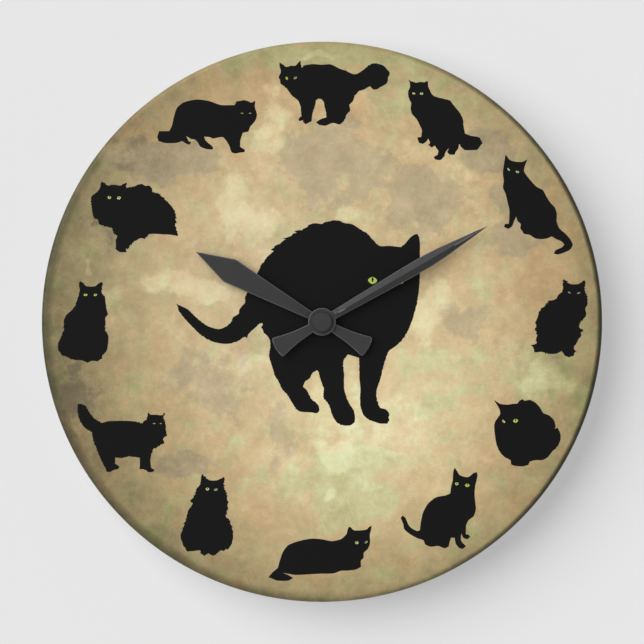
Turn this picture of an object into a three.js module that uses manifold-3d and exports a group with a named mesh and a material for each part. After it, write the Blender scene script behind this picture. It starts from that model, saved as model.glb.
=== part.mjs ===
// A round acrylic wall clock with a printed face and a battery quartz movement.
//
// Every piece is drawn lying face up: x to the right, y towards twelve o'clock and z from the
// wall towards the viewer, in millimetres, with the hand axis at x = y = 0 and the wall at z = 0.
// The exported group then stands the clock up, so that the viewer looks along +Y and +Z is up.
import * as THREE from 'three';
import { mergeVertices } from 'three/addons/utils/BufferGeometryUtils.js';
import Module from 'manifold-3d';

const wasm = await Module();
wasm.setup();

// ---------------------------------------------------------------- driving dimensions
const SEAT = 0.05; // play between pieces that are clamped or glued together
const dial = { diameter: 273.05, thickness: 5, edgeRound: 2.4, film: 0.25, hole: 8.4 };
const movement = { width: 56, corner: 4, wall: 1.2, back: 0, split: 8, front: 16 };
const bay = { bottom: -26.8, top: -12.5, divider: 1.2 }; // the battery bay, along y
const cell = { radius: 7, from: -25.1, to: 24.4, tip: 25.4, y: -19.65, z: 7.4, tipRadius: 2.7 };
const bush = { radius: 3.9, bore: 2.8, top: 26.9, flangeRadius: 5.5, flange: 14.2 };
const hub = { radius: 6.7, sheet: 0.8 };
const reading = { hour: 61, minute: -60 }; // degrees from twelve, counter-clockwise seen from the front

// Levels from the wall towards the viewer.
const hangerBack = movement.front + SEAT;
const hangerSheet = 1;
const gasketBack = hangerBack + hangerSheet + SEAT;
const gasketThickness = 1.5;
const dialBack = gasketBack + gasketThickness + SEAT;
const filmBack = dialBack + dial.thickness + SEAT;
const faceLevel = filmBack + dial.film;
const hourHandLevel = faceLevel + 3.6;
const minuteHandLevel = faceLevel + 5.6;
const capTop = faceLevel + 8.6;

// Gear pairs: teeth of each, module, and the distance between their axes.
const pair = (driver, driven, module) => ({
  driver,
  driven,
  module,
  distance: (module * (driver + driven)) / 2,
});
const rotorPair = pair(8, 48, 0.35);
const intermediatePair = pair(8, 40, 0.5);
const secondsPair = pair(8, 60, 0.36);
const thirdPair = pair(8, 64, 0.34);
const cannonPair = pair(12, 36, 0.4);
const hourPair = pair(10, 40, 0.384);
const settingPair = pair(12, 36, 0.4);

// Arbor places. The centre arbors share the hand axis.
const polar = (from, distance, degrees) => ({
  x: from.x + distance * Math.cos((degrees * Math.PI) / 180),
  y: from.y + distance * Math.sin((degrees * Math.PI) / 180),
});
const bearing = {
  centreToThird: 160,
  centreToIntermediate: 45,
  intermediateToRotor: 40,
  centreToMinute: 0,
  minuteToSetting: 0,
};
const centre = { x: 0, y: 0 };
const third = polar(centre, secondsPair.distance, bearing.centreToThird);
const intermediate = polar(centre, intermediatePair.distance, bearing.centreToIntermediate);
const rotor = polar(intermediate, rotorPair.distance, bearing.intermediateToRotor);
const minuteWork = polar(centre, cannonPair.distance, bearing.centreToMinute);
const setting = polar(minuteWork, settingPair.distance, bearing.minuteToSetting);

const arborRadius = 0.5;
const pivotHole = 0.75;
const pivotFoot = 2.2; // the level where the train arbors stand in the rear case
const trainPlate = { from: 10.2, to: 11.2 };
const coil = { y: 22.2, z: 8.8, radius: 3.7, half: 10.4, flange: 4.1, flangeSheet: 0.9 };

// ---------------------------------------------------------------- shapes and solids
const solid = (geometry) => {
  const bare = geometry.index ? geometry.toNonIndexed() : geometry.clone();
  for (const name of Object.keys(bare.attributes)) {
    if (name !== 'position') bare.deleteAttribute(name);
  }
  const merged = mergeVertices(bare, 1e-4);
  const vertProperties = merged.attributes.position.array;
  const mesh = { numProp: 3, vertProperties, triVerts: new Uint32Array(merged.index.array) };
  return new wasm.Manifold(new wasm.Mesh(mesh));
};

const geometryOf = (body) => {
  const mesh = body.getMesh();
  const geometry = new THREE.BufferGeometry();
  geometry.setAttribute('position', new THREE.BufferAttribute(new Float32Array(mesh.vertProperties), 3));
  geometry.setIndex(new THREE.BufferAttribute(new Uint32Array(mesh.triVerts), 1));
  return geometry;
};

// A round bar along z, from one level to another.
const rod = (at, radius, from, to, sides = 16) => {
  const geometry = new THREE.CylinderGeometry(radius, radius, to - from, sides);
  return solid(geometry.rotateX(Math.PI / 2).translate(at.x, at.y, (from + to) / 2));
};

const block = (x0, x1, y0, y1, z0, z1) => {
  const geometry = new THREE.BoxGeometry(x1 - x0, y1 - y0, z1 - z0);
  return solid(geometry.translate((x0 + x1) / 2, (y0 + y1) / 2, (z0 + z1) / 2));
};

const plate = (shape, from, to, curveSegments = 12) => {
  const settings = { depth: to - from, bevelEnabled: false, curveSegments };
  return solid(new THREE.ExtrudeGeometry(shape, settings).translate(0, 0, from));
};

// A body of revolution about z. The profile is a list of [radius, level], closed on itself or on the axis.
const turned = (profile, sides) => {
  const points = profile.map(([radius, level]) => new THREE.Vector2(radius, level));
  if (profile[0][0] > 0) points.push(points[0].clone());
  return solid(new THREE.LatheGeometry(points, sides).rotateX(Math.PI / 2));
};

const polygon = (points) => new THREE.Shape(points.map(([x, y]) => new THREE.Vector2(x, y)));

const roundedSquare = (width, corner) => {
  const half = width / 2;
  const flat = half - corner;
  const shape = new THREE.Shape();
  shape.moveTo(-flat, -half);
  shape.lineTo(flat, -half);
  shape.absarc(flat, -flat, corner, -Math.PI / 2, 0);
  shape.absarc(flat, flat, corner, 0, Math.PI / 2);
  shape.absarc(-flat, flat, corner, Math.PI / 2, Math.PI);
  shape.absarc(-flat, -flat, corner, Math.PI, 1.5 * Math.PI);
  return shape;
};

// Straight-flanked teeth, thinned for backlash. A pinion's teeth are slimmer at the foot than a wheel's.
const addendum = 0.85;
const dedendum = 1.2;
const gear = (at, teeth, module, phase, from, to) => {
  const pitchRadius = (teeth * module) / 2;
  const pitch = (2 * Math.PI) / teeth;
  const small = teeth < 16;
  const foot = small ? 0.25 : 0.32;
  const tip = small ? 0.1 : 0.09;
  const points = [];
  for (let tooth = 0; tooth < teeth; tooth += 1) {
    const middle = phase + tooth * pitch;
    const corners = [
      [pitchRadius - dedendum * module, -foot],
      [pitchRadius + addendum * module, -tip],
      [pitchRadius + addendum * module, tip],
      [pitchRadius - dedendum * module, foot],
    ];
    for (const [radius, turn] of corners) {
      const angle = middle + turn * pitch;
      points.push([at.x + radius * Math.cos(angle), at.y + radius * Math.sin(angle)]);
    }
  }
  return plate(polygon(points), from, to);
};

// The angle of a tooth of the driver that points at the driven gear, and of the driven gear's tooth
// beside the gap it fills.
const angleTo = (a, b) => Math.atan2(b.y - a.y, b.x - a.x);
const meshedPhase = (from, to, teeth, mate, driverPhase) => {
  const line = angleTo(from, to);
  return line + Math.PI + (Math.PI - (driverPhase - line) * teeth) / mate;
};

// The driven wheel of a pair, turned so that it meshes with a driver whose tooth points at it.
const drivenGear = (gears, from, to, low, high) => {
  const phase = meshedPhase(from, to, gears.driver, gears.driven, angleTo(from, to));
  return gear(to, gears.driven, gears.module, phase, low, high);
};

// The driving pinion of a pair, with a tooth that points at the driven wheel.
const driverGear = (gears, from, to, low, high) =>
  gear(from, gears.driver, gears.module, angleTo(from, to), low, high);

// ---------------------------------------------------------------- the clock and its materials
const clock = new THREE.Group();
clock.rotation.x = Math.PI / 2;

const finish = (color, roughness, metalness = 0) =>
  new THREE.MeshStandardMaterial({ color, roughness, metalness });
const finishes = {
  acrylic: finish(0xe9ecea, 0.12),
  print: finish(0xc9b184, 0.35),
  charcoal: finish(0x3b3b3d, 0.45, 0.3),
  blackPlastic: finish(0x1d1d1f, 0.55),
  innerPlastic: finish(0xd8d6cc, 0.5),
  gearPlastic: finish(0xece9df, 0.4),
  brass: finish(0xb6934a, 0.3, 1),
  copper: finish(0xa8562c, 0.35, 1),
  steel: finish(0x9a9da1, 0.35, 1),
  nickel: finish(0xc8c9cb, 0.25, 1),
  rubber: finish(0x17181a, 0.85),
  board: finish(0x2f5a34, 0.5),
  cellWrap: finish(0x2c2f36, 0.3),
};

const piece = (name, body, material, degrees = 0) => {
  const mesh = new THREE.Mesh(geometryOf(body), material);
  mesh.name = name;
  mesh.rotation.z = (degrees * Math.PI) / 180;
  clock.add(mesh);
};

// ---------------------------------------------------------------- dial plate and printed film
// The acrylic disc has a rounded front edge, and the printed film follows it.
const dialRadius = dial.diameter / 2;
const holeRadius = dial.hole / 2;
const dialSides = 72;
const edgeSteps = 3;

// Points along a quarter round, from the rim to the face, with the given radius about the edge's centre.
const quarterRound = (radius) =>
  Array.from({ length: edgeSteps + 1 }, (_, step) => {
    const angle = (step / edgeSteps) * (Math.PI / 2);
    const centreRadius = dialRadius - dial.edgeRound;
    return [centreRadius + radius * Math.cos(angle), faceLevel - dial.edgeRound + radius * Math.sin(angle)];
  });

const underFilm = dial.edgeRound - dial.film;
const plateProfile = [
  [holeRadius, dialBack],
  [dialRadius - dial.film - 0.8, dialBack],
  [dialRadius - dial.film - SEAT, dialBack + 0.8],
  ...quarterRound(underFilm - SEAT),
  [holeRadius, dialBack + dial.thickness],
];
piece('dial_plate', turned(plateProfile, dialSides), finishes.acrylic);

const filmProfile = [
  ...quarterRound(dial.edgeRound),
  [holeRadius, faceLevel],
  [holeRadius, filmBack],
  ...quarterRound(underFilm).reverse(),
];
piece('face_print', turned(filmProfile, dialSides), finishes.print);

// ---------------------------------------------------------------- rear case, with battery bay and knob well
const innerWidth = movement.width - 2 * movement.wall;
const innerHalf = innerWidth / 2;
const floorTop = movement.back + movement.wall;
const well = { radius: 6, wall: 1, floor: 3, top: 4.2 };
const trainArbors = [centre, third, intermediate, rotor];

const outerOutline = roundedSquare(movement.width, movement.corner);
const innerOutline = roundedSquare(innerWidth, movement.corner - movement.wall);
const divider = (from, to) =>
  block(-innerHalf - 0.2, innerHalf + 0.2, bay.top, bay.top + bay.divider, from, to);
let rearCase = plate(outerOutline, movement.back, movement.split, 4);
rearCase = rearCase.subtract(plate(innerOutline, floorTop, movement.split + 1, 4));
const bayHalf = innerHalf - 1;
rearCase = rearCase.subtract(block(-bayHalf, bayHalf, bay.bottom, bay.top, movement.back - 1, floorTop + 1));
rearCase = rearCase.add(divider(0.6, movement.split));
rearCase = rearCase.add(rod(setting, well.radius + well.wall, 0.6, well.top, 24));
rearCase = rearCase.subtract(rod(setting, well.radius, movement.back - 1, well.floor, 24));
rearCase = rearCase.subtract(rod(setting, 1.5, movement.back, movement.split, 12));
for (const at of trainArbors) {
  rearCase = rearCase.add(rod(at, 1.7, 0.6, 3.8, 12));
  rearCase = rearCase.subtract(rod(at, pivotHole, pivotFoot - 0.3, movement.split, 12));
}
piece('rear_case', rearCase, finishes.blackPlastic);

// ---------------------------------------------------------------- front case
const frontInner = movement.front - movement.wall;
const plateLedge = trainPlate.to + SEAT;
const posts = [{ x: -22, y: -7 }, { x: 24.5, y: -8 }, { x: 24.5, y: 12 }, { x: -8, y: 15 }];
let frontCase = plate(outerOutline, movement.split + SEAT, movement.front, 4);
frontCase = frontCase.subtract(plate(innerOutline, 0, frontInner, 4));
frontCase = frontCase.add(divider(movement.split + SEAT, frontInner + 0.2));
frontCase = frontCase.subtract(rod(centre, bush.radius + 0.1, 0, 20, 24));
for (const side of [-1, 1]) {
  const contactSlot = block(side * 25.9 - 0.95, side * 25.9 + 0.85, -13, -11, 10.5, 14);
  frontCase = frontCase.subtract(contactSlot);
}
for (const at of posts) {
  frontCase = frontCase.add(rod(at, 1.5, plateLedge, frontInner + 0.2, 12));
}
piece('front_case', frontCase, finishes.blackPlastic);

// ---------------------------------------------------------------- train plate, with the minute wheel's stud
const studRadius = 0.9;
let middlePlate = block(-26, 26, -10.4, 16.6, trainPlate.from, trainPlate.to);
middlePlate = middlePlate.subtract(rod(centre, 2, 0, 20, 20));
middlePlate = middlePlate.subtract(rod(setting, 1.5, 0, 20, 12));
for (const at of trainArbors.slice(1)) {
  middlePlate = middlePlate.subtract(rod(at, pivotHole, 0, 20, 12));
}
middlePlate = middlePlate.add(rod(minuteWork, studRadius, trainPlate.to - 0.5, 14.5, 12));
piece('train_plate', middlePlate, finishes.innerPlastic);

// ---------------------------------------------------------------- hanger
// A steel strap clamped between the movement and the dial, stepped back to the wall above the movement,
// with a slot that takes a nail.
const hanger = { half: 11, bottom: -11, bend: 29, tabBottom: 31.5, top: 50, tabBack: 1.5 };
const keyhole = { y: 38.5, radius: 4.3, slotHalf: 2.3, top: 46.5 };
const sideProfile = polygon([
  [hanger.bottom, hangerBack],
  [hanger.bottom, hangerBack + hangerSheet],
  [hanger.bend + 0.8, hangerBack + hangerSheet],
  [hanger.tabBottom + 0.8, hanger.tabBack + hangerSheet],
  [hanger.top, hanger.tabBack + hangerSheet],
  [hanger.top, hanger.tabBack],
  [hanger.tabBottom, hanger.tabBack],
  [hanger.bend, hangerBack],
]);
// The side profile is drawn as (y, z) and extruded across x.
const strapAcross = new THREE.ExtrudeGeometry(sideProfile, { depth: 2 * hanger.half, bevelEnabled: false });
const along = [new THREE.Vector3(0, 1, 0), new THREE.Vector3(0, 0, 1), new THREE.Vector3(1, 0, 0)];
strapAcross.applyMatrix4(new THREE.Matrix4().makeBasis(...along));
let strap = solid(strapAcross.translate(-hanger.half, 0, 0));
strap = strap.subtract(rod({ x: 0, y: keyhole.y }, keyhole.radius, 0, 8, 20));
strap = strap.subtract(block(-keyhole.slotHalf, keyhole.slotHalf, keyhole.y, keyhole.top, 0, 8));
strap = strap.subtract(rod(centre, bush.radius + 0.25, 10, 20, 24));
piece('hanger_strap', strap, finishes.steel);

// ---------------------------------------------------------------- rubber gasket, bushing, washer and nut
const ring = (inner, outer, from, to) =>
  turned([[inner, from], [outer, from], [outer, to], [inner, to]], 32);
const gasket = ring(bush.radius + 0.25, 10, gasketBack, gasketBack + gasketThickness);
piece('rubber_gasket', gasket, finishes.rubber);

const bushProfile = [
  [bush.bore, bush.flange],
  [bush.flangeRadius, bush.flange],
  [bush.flangeRadius, frontInner - SEAT],
  [bush.radius, frontInner - SEAT],
  [bush.radius, bush.top - 0.4],
  [bush.radius - 0.4, bush.top],
  [bush.bore, bush.top],
];
piece('threaded_bushing', turned(bushProfile, 32), finishes.brass);

const washerThickness = 0.5;
const washerBack = faceLevel + SEAT;
const nutBack = washerBack + washerThickness + SEAT;
const washer = ring(bush.radius + 0.15, 6.3, washerBack, washerBack + washerThickness);
piece('dial_washer', washer, finishes.brass);
const nutCorners = Array.from({ length: 6 }, (_, k) => {
  const angle = (k * Math.PI) / 3;
  return [6 * Math.cos(angle), 6 * Math.sin(angle)];
});
const nut = plate(polygon(nutCorners), nutBack, nutBack + 1.9)
  .subtract(rod(centre, bush.radius + 0.15, 20, 30, 32));
piece('dial_nut', nut, finishes.brass);

// ---------------------------------------------------------------- stepping motor
const statorLevel = 7.2;
const coreHalf = 15.5;
let stator = block(-coreHalf, 11.5, 15.8, 18, statorLevel, statorLevel + 1);
stator = stator.add(block(-coreHalf, -coreHalf + 2.6, 15.8, 24, statorLevel, statorLevel + 1));
stator = stator.add(block(coreHalf - 2.6, coreHalf, 18, 24, statorLevel, statorLevel + 1));
stator = stator.add(rod(rotor, 5.2, statorLevel, statorLevel + 1, 28)).subtract(rod(rotor, 3.5, 0, 20, 24));
piece('stator', stator, finishes.steel);

const coreBack = statorLevel + 1 + SEAT;
const coreBody = block(-coreHalf, coreHalf, coil.y - 1.4, coil.y + 1.4, coreBack, coreBack + 1.1);
piece('coil_core', coreBody, finishes.steel);

// Bobbin and winding are turned about x.
const alongX = (body, y, z) => {
  const turn = new THREE.Matrix4().makeRotationY(Math.PI / 2).setPosition(0, y, z);
  return solid(geometryOf(body).applyMatrix4(turn));
};
const boreRadius = 1.6;
const bobbinProfile = [
  [boreRadius, -coil.half - coil.flangeSheet],
  [coil.flange, -coil.half - coil.flangeSheet],
  [coil.flange, -coil.half],
  [boreRadius + 0.5, -coil.half],
  [boreRadius + 0.5, coil.half],
  [coil.flange, coil.half],
  [coil.flange, coil.half + coil.flangeSheet],
  [boreRadius, coil.half + coil.flangeSheet],
];
piece('coil_bobbin', alongX(turned(bobbinProfile, 20), coil.y, coil.z), finishes.innerPlastic);
const windingProfile = [
  [boreRadius + 0.55, -coil.half + SEAT],
  [coil.radius, -coil.half + SEAT],
  [coil.radius, coil.half - SEAT],
  [boreRadius + 0.55, coil.half - SEAT],
];
piece('coil_winding', alongX(turned(windingProfile, 20), coil.y, coil.z), finishes.copper);

piece('rotor_magnet', rod(rotor, 3, 6.2, 9.2, 20).subtract(rod(rotor, 0.9, 0, 20, 12)), finishes.steel);

// ---------------------------------------------------------------- going train
const rotorPinion = driverGear(rotorPair, rotor, intermediate, 4.2, 5.8)
  .add(rod(rotor, 0.8, 5.5, 9.8, 12))
  .add(rod(rotor, arborRadius, pivotFoot, 10.9, 12));
piece('rotor_pinion', rotorPinion, finishes.gearPlastic);

const intermediateWheel = drivenGear(rotorPair, rotor, intermediate, 4.6, 5.4)
  .add(driverGear(intermediatePair, intermediate, centre, 5.2, 7))
  .add(rod(intermediate, arborRadius, pivotFoot, 10.9, 12));
piece('intermediate_wheel', intermediateWheel, finishes.gearPlastic);

const secondsWheel = drivenGear(intermediatePair, intermediate, centre, 6, 6.8)
  .add(driverGear(secondsPair, centre, third, 6.6, 8.4))
  .add(rod(centre, arborRadius, pivotFoot, minuteHandLevel, 12));
piece('seconds_wheel', secondsWheel, finishes.gearPlastic);

const thirdWheel = drivenGear(secondsPair, centre, third, 7.4, 8.2)
  .add(driverGear(thirdPair, third, centre, 8, 9.9))
  .add(rod(third, arborRadius, pivotFoot, 10.9, 12));
piece('third_wheel', thirdWheel, finishes.gearPlastic);

const arbor = { radius: 1.6, bore: 0.85, foot: 8.7, top: capTop - 0.8 };
const centreWheel = drivenGear(thirdPair, third, centre, 8.9, 9.7)
  .subtract(rod(centre, arbor.radius + 0.1, 0, 20, 24));
piece('centre_wheel', centreWheel, finishes.gearPlastic);

// ---------------------------------------------------------------- motion work
const minuteArbor = rod(centre, arbor.radius, arbor.foot, arbor.top, 24)
  .add(driverGear(cannonPair, centre, minuteWork, 11.6, 12.8))
  .subtract(rod(centre, arbor.bore, 0, 40, 16));
piece('minute_arbor', minuteArbor, finishes.brass);

const minuteWheel = drivenGear(cannonPair, centre, minuteWork, 11.8, 12.6)
  .add(driverGear(hourPair, minuteWork, centre, 12.4, 14.1))
  .subtract(rod(minuteWork, studRadius + 0.2, 0, 20, 16));
piece('minute_wheel', minuteWheel, finishes.gearPlastic);

const hourTube = { radius: 2.55, bore: 1.9, top: hourHandLevel + hub.sheet + 0.6 };
const hourWheel = drivenGear(hourPair, minuteWork, centre, 13.1, 13.9)
  .add(rod(centre, hourTube.radius, 13.5, hourTube.top, 28))
  .subtract(rod(centre, hourTube.bore, 0, 40, 24));
piece('hour_wheel', hourWheel, finishes.gearPlastic);

// ---------------------------------------------------------------- setting stem and knob
const stemRadius = 1.1;
const knob = { radius: 5.4, back: 0.3, front: 2.6 };
const { driver: stemTeeth, driven: wheelTeeth, module: settingModule } = settingPair;
const towardsWheel = angleTo(centre, minuteWork);
const wheelPhase = meshedPhase(centre, minuteWork, cannonPair.driver, cannonPair.driven, towardsWheel);
const stemPhase = meshedPhase(minuteWork, setting, wheelTeeth, stemTeeth, wheelPhase);
const settingStem = gear(setting, stemTeeth, settingModule, stemPhase, 11.6, 12.8)
  .add(rod(setting, stemRadius, knob.back + 0.7, 14.2, 12));
piece('setting_stem', settingStem, finishes.gearPlastic);
const ribs = Array.from({ length: 36 }, (_, k) => {
  const radius = k % 2 ? knob.radius : knob.radius - 0.35;
  const at = polar(setting, radius, k * 10);
  return [at.x, at.y];
});
const settingKnob = plate(polygon(ribs), knob.back, knob.front)
  .subtract(rod(setting, stemRadius + 0.1, knob.back + 0.6, 10, 12));
piece('setting_knob', settingKnob, finishes.blackPlastic);

// ---------------------------------------------------------------- circuit board, chip and crystal
const board = { x0: -26, x1: -13, y0: 3, y1: 25, back: 11.7, front: 12.5 };
const boardBody = block(board.x0, board.x1, board.y0, board.y1, board.back, board.front);
piece('circuit_board', boardBody, finishes.board);
const chipBody = rod({ x: -19.5, y: 9 }, 2.4, board.front + SEAT, board.front + 1.4, 16);
piece('driver_chip', chipBody, finishes.blackPlastic);
const crystal = new THREE.CylinderGeometry(1, 1, 6, 16).translate(-18, 18, board.front + SEAT + 1);
piece('quartz_crystal', solid(crystal), finishes.nickel);

// ---------------------------------------------------------------- battery contacts and cell
const leafSheet = 0.4;
const leaf = (side, bulge) => {
  const wall = side * 26.55;
  const inner = wall - side * leafSheet;
  const crest = inner - side * bulge;
  const points = [
    [wall, -23.8],
    [wall, -14],
    [inner, -14],
    [inner, cell.y + 3],
    [crest, cell.y + 1],
    [crest, cell.y - 1],
    [inner, cell.y - 3],
    [inner, -23.8],
  ];
  return plate(polygon(side > 0 ? points.reverse() : points), 2.5, 12.5);
};
const negative = leaf(-1, 0.7).add(block(-26.55, -26.15, -14.2, 2.6, 11, 12.5));
piece('contact_negative', negative, finishes.nickel);
const positive = leaf(1, 0.25)
  .add(block(26.15, 26.55, -14.2, -10.7, 11.6, 12.5))
  .add(block(-22, 26.55, -11.1, -10.7, 11.6, 12.5));
piece('contact_positive', positive, finishes.nickel);

const cellProfile = [
  [0, cell.from],
  [cell.radius - 0.7, cell.from],
  [cell.radius, cell.from + 0.7],
  [cell.radius, cell.to - 0.7],
  [cell.radius - 0.7, cell.to],
  [cell.tipRadius, cell.to],
  [cell.tipRadius, cell.tip],
  [0, cell.tip],
];
piece('battery_cell', alongX(turned(cellProfile, 28), cell.y, cell.z), finishes.cellWrap);

// ---------------------------------------------------------------- hands and cap nut
// Both hands share the flared tail. A blade is a list of [half width, distance from the axis] up to
// its point.
const tailEdge = [
  [2.1, -6.3],
  [2.5, -10],
  [3.05, -15],
  [4.05, -20],
  [5.1, -24.2],
  [4.9, -24.9],
  [3.2, -25.6],
  [0, -26.1],
];
const blades = {
  hour: [[1.9, 6.5], [6, 49.7], [6.1, 51], [5, 55], [0, 70.2]],
  minute: [[2.05, 6.5], [2.5, 20], [2.9, 35], [3.3, 56], [2.9, 66.5], [1, 85], [0, 93.2]],
};
const handShape = (blade) => {
  const hubStart = Math.atan2(blade[0][1], blade[0][0]);
  const hubEnd = Math.atan2(tailEdge[0][1], tailEdge[0][0]);
  const hubSteps = 10;
  const hubArc = Array.from({ length: hubSteps + 1 }, (_, k) => {
    const angle = hubStart + ((hubEnd - hubStart) * k) / hubSteps;
    return [hub.radius * Math.cos(angle), hub.radius * Math.sin(angle)];
  });
  const right = [...blade.slice(1).reverse(), blade[0], ...hubArc, ...tailEdge];
  const left = right.slice(1, -1).reverse().map(([x, y]) => [-x, y]);
  return polygon([...right, ...left].reverse());
};
const hourHand = plate(handShape(blades.hour), hourHandLevel, hourHandLevel + hub.sheet)
  .add(rod(centre, 3.5, hourHandLevel - 0.5, hourHandLevel + 0.2, 24))
  .subtract(rod(centre, hourTube.radius + 0.08, 20, 40, 28));
piece('hour_hand', hourHand, finishes.charcoal, reading.hour);

const minuteHand = plate(handShape(blades.minute), minuteHandLevel, minuteHandLevel + hub.sheet)
  .subtract(rod(centre, arbor.radius + 0.08, 20, 40, 24));
piece('minute_hand', minuteHand, finishes.charcoal, reading.minute);

const cap = { radius: 4.9, back: minuteHandLevel + hub.sheet + SEAT };
const capProfile = [
  [0, cap.back + 1.6],
  [arbor.radius + 0.1, cap.back + 1.6],
  [arbor.radius + 0.1, cap.back],
  [cap.radius, cap.back],
  [cap.radius, capTop - 0.5],
  [cap.radius - 0.5, capTop],
  [0, capTop],
];
piece('cap_nut', turned(capProfile, 32), finishes.charcoal);

export default clock;
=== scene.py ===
import bpy
from math import atan2, cos, pi, radians, sin
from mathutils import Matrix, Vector


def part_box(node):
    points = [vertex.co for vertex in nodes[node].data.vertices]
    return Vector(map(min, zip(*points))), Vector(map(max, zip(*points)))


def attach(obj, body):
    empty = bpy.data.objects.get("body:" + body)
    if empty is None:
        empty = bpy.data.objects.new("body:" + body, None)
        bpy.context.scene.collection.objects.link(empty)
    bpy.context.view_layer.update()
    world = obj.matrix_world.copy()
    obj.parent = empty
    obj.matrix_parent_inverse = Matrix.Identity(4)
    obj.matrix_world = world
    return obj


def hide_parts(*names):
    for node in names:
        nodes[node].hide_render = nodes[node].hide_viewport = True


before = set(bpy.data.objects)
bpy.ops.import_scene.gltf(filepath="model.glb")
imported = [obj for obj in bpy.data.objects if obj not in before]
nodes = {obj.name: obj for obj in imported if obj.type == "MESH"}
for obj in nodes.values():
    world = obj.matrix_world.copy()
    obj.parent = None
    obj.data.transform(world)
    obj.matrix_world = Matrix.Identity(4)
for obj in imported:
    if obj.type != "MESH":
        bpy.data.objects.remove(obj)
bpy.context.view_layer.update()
MM = 0.001


# -------- camera, wall and light
# The clock hangs on a pale wall and is seen straight on, through a long lens. A broad lamp stands high
# on the left, a weak one lights the back and the room fills in the rest. The wall is clear from
# behind, so that it never hides the back of the clock.
dial_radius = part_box("face_print")[1][0]
face = -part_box("face_print")[0][1] / MM  # how far the printed face stands off the wall, in mm

camera_data = bpy.data.cameras.new("camera")
camera = bpy.data.objects.new("camera", camera_data)
bpy.context.scene.collection.objects.link(camera)
bpy.context.scene.camera = camera
camera_distance = 2.4
camera_drop = 0.0001
view_margin = 1.1483
view_width = 2 * dial_radius * view_margin
camera_data.lens = camera_data.sensor_width * camera_distance / view_width
camera.location = (0, -camera_distance - face * MM, -camera_drop)
camera.rotation_euler = (radians(90), 0, 0)

bpy.ops.object.select_all(action="DESELECT")
wall_size = 4
bpy.ops.mesh.primitive_plane_add(size=wall_size, rotation=(radians(90), 0, 0))
wall = bpy.context.object
wall.name = "wall"
wall.visible_diffuse = False
wall.visible_glossy = False
wall.visible_shadow = False
wall_paint = bpy.data.materials.new("wall_paint")
wall_paint.use_nodes = True
wall.data.materials.append(wall_paint)
wall_nodes = wall_paint.node_tree.nodes
wall_links = wall_paint.node_tree.links
matt_paint = wall_nodes["Principled BSDF"]
matt_paint.inputs["Base Color"].default_value = (0.8, 0.8, 0.8, 1)
matt_paint.inputs["Roughness"].default_value = 0.9
matt_paint.inputs["Specular IOR Level"].default_value = 0.0
one_sided = wall_nodes.new("ShaderNodeMixShader")
see_through = wall_nodes.new("ShaderNodeBsdfTransparent")
geometry = wall_nodes.new("ShaderNodeNewGeometry")
wall_links.new(geometry.outputs["Backfacing"], one_sided.inputs[0])
wall_links.new(matt_paint.outputs[0], one_sided.inputs[1])
wall_links.new(see_through.outputs[0], one_sided.inputs[2])
wall_links.new(one_sided.outputs[0], wall_nodes["Material Output"].inputs["Surface"])


def sun(name, towards, strength, spread):
    """A broad lamp far away, shining along a direction."""
    data = bpy.data.lights.new(name, "SUN")
    data.energy = strength
    data.angle = radians(spread)
    lamp = bpy.data.objects.new(name, data)
    lamp.rotation_mode = "QUATERNION"
    lamp.rotation_quaternion = Vector(towards).to_track_quat("-Z", "Y")
    bpy.context.scene.collection.objects.link(lamp)
    return lamp


key_lamp = sun("key_lamp", (0.62, 0.72, -0.34), 1.9, 60)
back_lamp = sun("back_lamp", (-0.45, -0.8, -0.5), 0.65, 30)
room = bpy.data.worlds.new("room")
room.use_nodes = True
room_light = room.node_tree.nodes["Background"]
room_light.inputs["Color"].default_value = (1, 1, 1, 1)
room_light.inputs["Strength"].default_value = 0.57
bpy.context.scene.world = room
bpy.context.scene.view_settings.view_transform = "Standard"


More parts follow.
